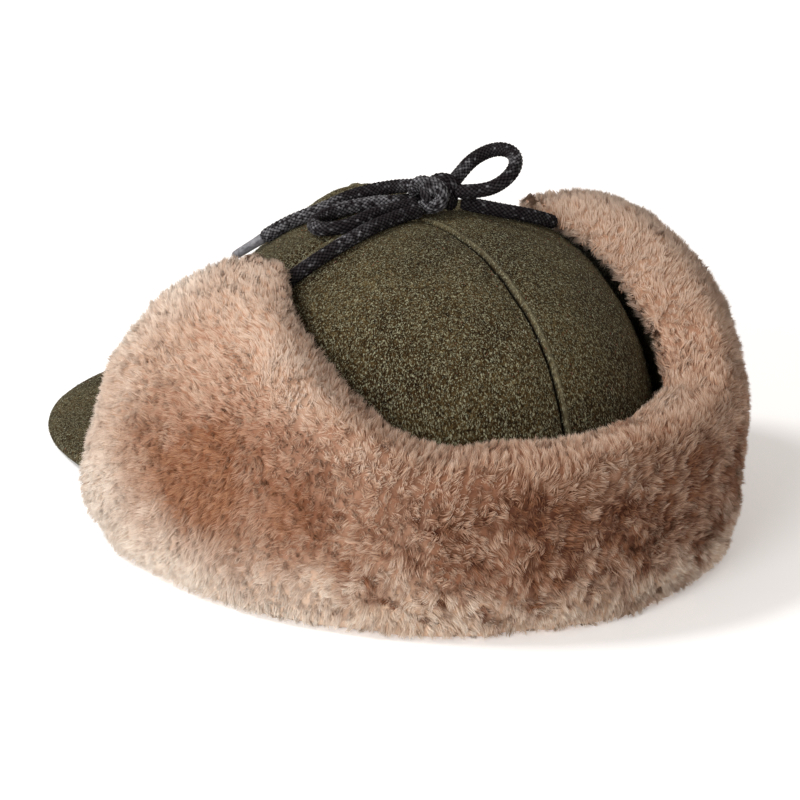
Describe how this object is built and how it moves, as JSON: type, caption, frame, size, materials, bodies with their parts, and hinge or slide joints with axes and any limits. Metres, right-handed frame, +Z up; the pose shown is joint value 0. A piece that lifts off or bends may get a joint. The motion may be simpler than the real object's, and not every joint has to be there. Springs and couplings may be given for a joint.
{
  "type": "wool cap with shearling ear flaps",
  "caption": "Warm wool cap with a short peak, a deep shearling band turned up round a domed crown, and ear flap laces tied in a bow on top.",
  "frame": {"origin": "centre of the cap's footprint box, without the cords, on the surface that the lower edge of the shearling rests on", "axes": "+Z up, peak towards -Y, wearer's left ear flap towards +X, back of the head towards +Y"},
  "size_m": [0.2454, 0.3248, 0.1412],
  "materials": {
    "wool_melton": "matte",
    "shearling": "matte",
    "lace_cord": "matte",
    "aglet_plastic": "satin"
  },
  "bodies": {
    "root": {"crown_panel_front_left": "wool_melton", "crown_panel_front_right": "wool_melton", "crown_panel_back_left": "wool_melton", "crown_panel_back_right": "wool_melton", "peak": "wool_melton", "flap_cloth": "wool_melton", "pile_left_ear": "shearling", "pile_back": "shearling", "pile_right_ear": "shearling", "lace_left_strand": "lace_cord", "lace_left_loop": "lace_cord", "lace_left_end": "lace_cord", "lace_right_loop": "lace_cord", "lace_right_strand": "lace_cord", "lace_right_end": "lace_cord", "bow_knot": "lace_cord", "aglet_left": "aglet_plastic", "aglet_right": "aglet_plastic"}
  },
  "joints": []
}
